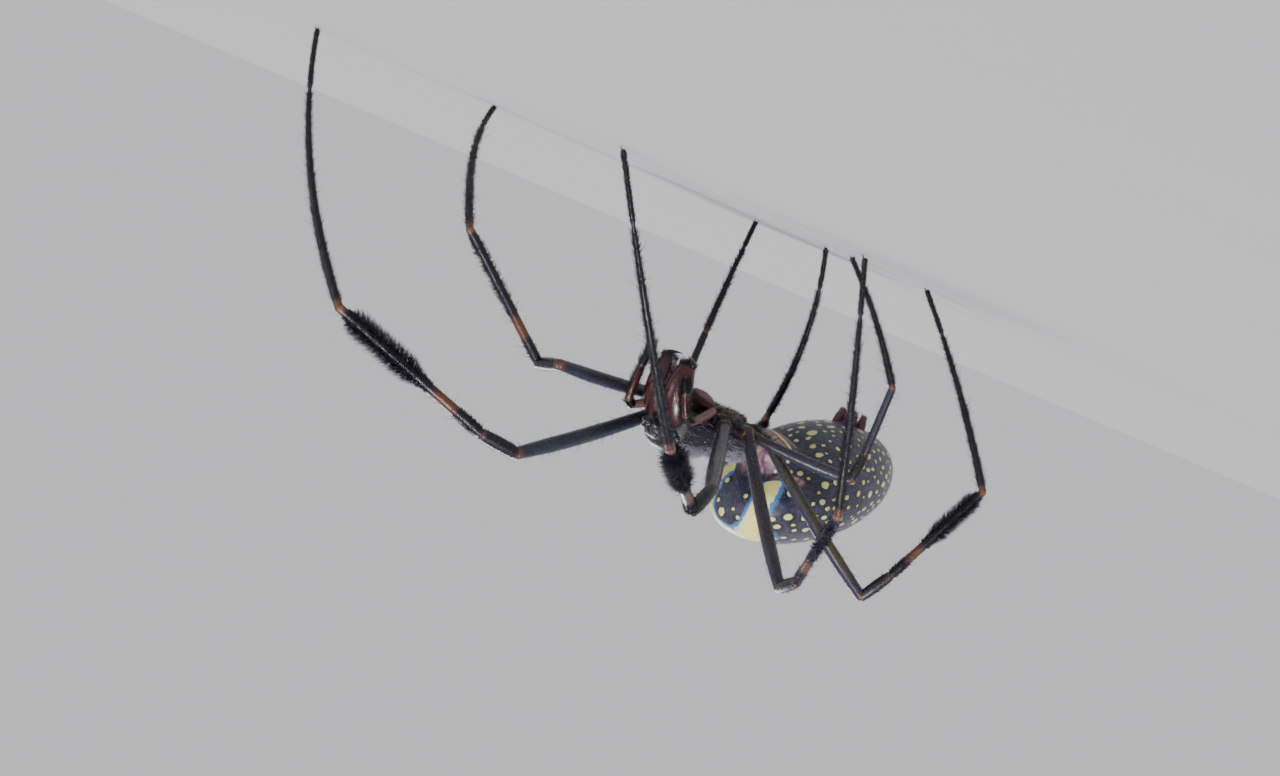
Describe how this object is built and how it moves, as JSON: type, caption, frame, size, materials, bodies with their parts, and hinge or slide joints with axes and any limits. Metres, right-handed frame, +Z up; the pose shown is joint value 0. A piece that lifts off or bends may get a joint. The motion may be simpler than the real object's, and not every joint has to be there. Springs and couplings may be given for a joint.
{
  "type": "orb-weaver spider model",
  "caption": "Life-size still model of a female golden silk orb weaver standing on its feet: long banded legs with dark brushes and a long spotted abdomen.",
  "frame": {"origin": "on the ground below the middle of the whole spider's box, legs included", "axes": "+Z up, the head faces -Y, so the spider's right side is towards -X"},
  "size_m": [0.0526, 0.0675, 0.0274],
  "materials": {
    "shell": "satin violet-black shell",
    "black_haired": "matt black, fine hairs",
    "abdomen_skin": "satin slate blue skin with cream-yellow spots",
    "tan": "satin tan",
    "red_shell": "glossy dark red",
    "fang": "polished near-black",
    "eye": "wet black",
    "spinneret": "satin maroon",
    "amber": "glossy amber-olive",
    "violet_leg": "satin violet-grey",
    "leg_black": "satin black-violet"
  },
  "bodies": {
    "root": {"carapace": "shell", "sternum": "black_haired", "abdomen": "abdomen_skin", "mouthparts": "tan", "pedicel": "shell", "chelicera_l": "red_shell", "fang_l": "fang", "chelicera_r": "red_shell", "fang_r": "fang", "eye_front_middle_l": "eye", "eye_rear_middle_l": "eye", "eyes_lateral_l": "eye", "eye_front_middle_r": "eye", "eye_rear_middle_r": "eye", "eyes_lateral_r": "eye", "spinnerets": "spinneret", "coxa_l1": "amber", "femur_l1": "violet_leg", "patella_l1": "leg_black", "tibia_l1": "leg_black", "metatarsus_l1": "leg_black", "coxa_l2": "amber", "femur_l2": "violet_leg", "patella_l2": "leg_black", "tibia_l2": "leg_black", "metatarsus_l2": "leg_black", "coxa_l3": "amber", "femur_l3": "violet_leg", "patella_l3": "leg_black", "tibia_l3": "leg_black", "metatarsus_l3": "leg_black", "coxa_l4": "amber", "femur_l4": "violet_leg", "patella_l4": "leg_black", "tibia_l4": "leg_black", "metatarsus_l4": "leg_black", "coxa_r1": "amber", "femur_r1": "violet_leg", "patella_r1": "leg_black", "tibia_r1": "leg_black", "metatarsus_r1": "leg_black", "coxa_r2": "amber", "femur_r2": "violet_leg", "patella_r2": "leg_black", "tibia_r2": "leg_black", "metatarsus_r2": "leg_black", "coxa_r3": "amber", "femur_r3": "violet_leg", "patella_r3": "leg_black", "tibia_r3": "leg_black", "metatarsus_r3": "leg_black", "coxa_r4": "amber", "femur_r4": "violet_leg", "patella_r4": "leg_black", "tibia_r4": "leg_black", "metatarsus_r4": "leg_black", "palp_l": "tan", "palp_r": "tan"}
  },
  "joints": []
}
